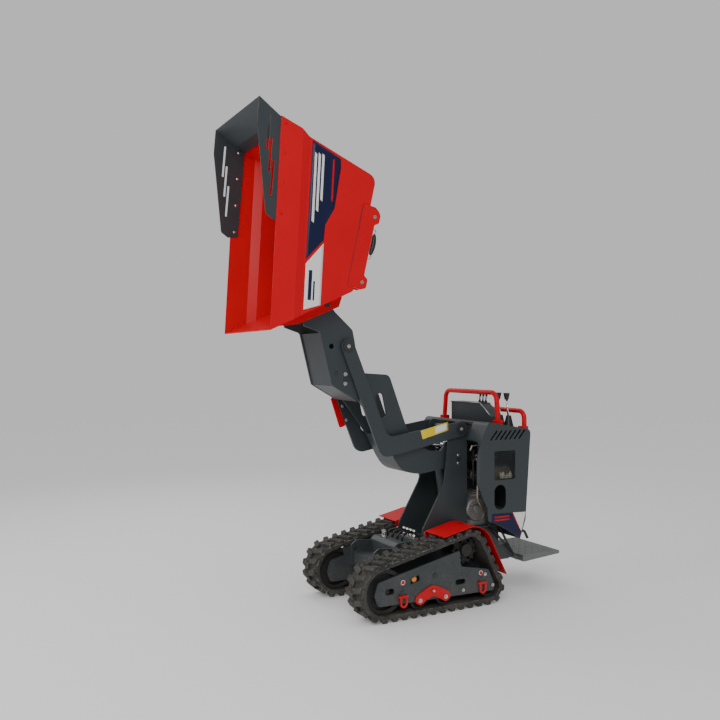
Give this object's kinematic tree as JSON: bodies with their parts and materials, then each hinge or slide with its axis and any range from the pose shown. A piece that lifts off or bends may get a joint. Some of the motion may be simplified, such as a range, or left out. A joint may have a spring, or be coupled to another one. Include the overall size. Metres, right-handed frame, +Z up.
{
  "type": "tracked high-tip dumper",
  "caption": "Rubber-tracked mini dumper with its hopper lifted on a parallelogram arm and tipped forward, rear controls and a folding operator's step.",
  "frame": {"origin": "on the ground under the middle of the machine's length and width", "axes": "+X forward, the way the hopper tips; +Y to the machine's left; +Z up"},
  "size_m": [2.3044, 0.8, 2.9954],
  "materials": {
    "red_paint": "gloss",
    "grey_paint": "satin",
    "rubber": "matte",
    "cast_iron": "matte",
    "zinc_steel": "satin",
    "chrome_rod": "polished",
    "black_plastic": "matte"
  },
  "bodies": {
    "chassis": {"chassis_frame": "grey_paint", "front_cover": "grey_paint", "valve_block": "zinc_steel", "tower": "grey_paint", "track_left": "rubber", "track_right": "rubber", "track_frame_left": "grey_paint", "track_frame_right": "grey_paint", "front_idlers": "cast_iron", "rear_idlers": "cast_iron", "rollers": "cast_iron", "sprockets": "cast_iron", "drive_motors": "cast_iron", "bogies": "red_paint", "tie_shackles": "red_paint", "fender_left": "red_paint", "fender_right": "red_paint", "canopy": "grey_paint", "canopy_frame": "grey_paint", "engine": "cast_iron", "silencer": "zinc_steel", "console": "grey_paint", "levers": "black_plastic", "front_handle": "red_paint", "rear_bar": "red_paint", "rope_hooks": "grey_paint", "step_brackets": "grey_paint"},
    "lift_arm": {"elbow_left": "grey_paint", "elbow_right": "grey_paint", "lift_shafts": "zinc_steel", "safety_prop": "red_paint"},
    "inner_arm": {"inner_arm": "grey_paint", "arm_pins": "zinc_steel"},
    "head": {"head_box": "grey_paint", "head_pins": "zinc_steel"},
    "skip": {"skip_shell": "red_paint", "skip_guard": "grey_paint", "floor_brackets": "red_paint", "skip_lugs": "red_paint", "skip_pins": "zinc_steel"},
    "lift_barrel": {"lift_barrel": "grey_paint"},
    "lift_rod": {"lift_rod": "chrome_rod"},
    "tilt_barrel": {"tilt_barrel": "grey_paint"},
    "tilt_rod": {"tilt_rod": "chrome_rod"},
    "step": {"step": "grey_paint"}
  },
  "joints": [
    {"name": "lift", "type": "hinge", "parent": "chassis", "child": "lift_arm", "pos_m": [-0.353, 0, 1.102], "axis": [0, 1, 0], "range_deg": [0, 66]},
    {"name": "lift_follow_inner", "type": "hinge", "parent": "chassis", "child": "inner_arm", "pos_m": [-0.353, 0, 0.904], "axis": [0, 1, 0], "range_deg": [0, 66]},
    {"name": "lift_follow_head", "type": "hinge", "parent": "lift_arm", "child": "head", "pos_m": [0.485, 0, 1.638], "axis": [0, 1, 0], "range_deg": [-66, 0]},
    {"name": "skip_tilt", "type": "hinge", "parent": "head", "child": "skip", "pos_m": [0.625, 0, 1.888], "axis": [0, -1, 0], "range_deg": [0, 77]},
    {"name": "lift_barrel_swing", "type": "hinge", "parent": "chassis", "child": "lift_barrel", "pos_m": [-0.3575, 0, 0.4495], "axis": [0, 1, 0], "range_deg": [0, 8.07]},
    {"name": "lift_rod_slide", "type": "slide", "parent": "lift_barrel", "child": "lift_rod", "axis": [-0.136, 0, -0.9907], "range_m": [-0.001, 0.10743]},
    {"name": "tilt_barrel_swing", "type": "hinge", "parent": "head", "child": "tilt_barrel", "pos_m": [0.556, 0, 1.478], "axis": [0, 1, 0], "range_deg": [0, 6.39]},
    {"name": "tilt_rod_slide", "type": "slide", "parent": "tilt_barrel", "child": "tilt_rod", "axis": [0.0941, 0, -0.9956], "range_m": [-0.001, 0.14703]},
    {"name": "step_fold", "type": "hinge", "parent": "chassis", "child": "step", "pos_m": [-0.815, 0, 0.222], "axis": [0, 1, 0], "range_deg": [0, 80]}
  ],
  "couplings": [
    {"joint": "lift_follow_inner", "follows": "lift", "ratio": 1},
    {"joint": "lift_follow_head", "follows": "lift", "ratio": -1},
    {"joint": "lift_barrel_swing", "follows": "lift", "ratio": 0.10713},
    {"joint": "lift_rod_slide", "follows": "lift", "m_per_rad": 0.092396},
    {"joint": "tilt_barrel_swing", "follows": "skip_tilt", "ratio": 0.070015},
    {"joint": "tilt_rod_slide", "follows": "skip_tilt", "m_per_rad": 0.10866}
  ]
}
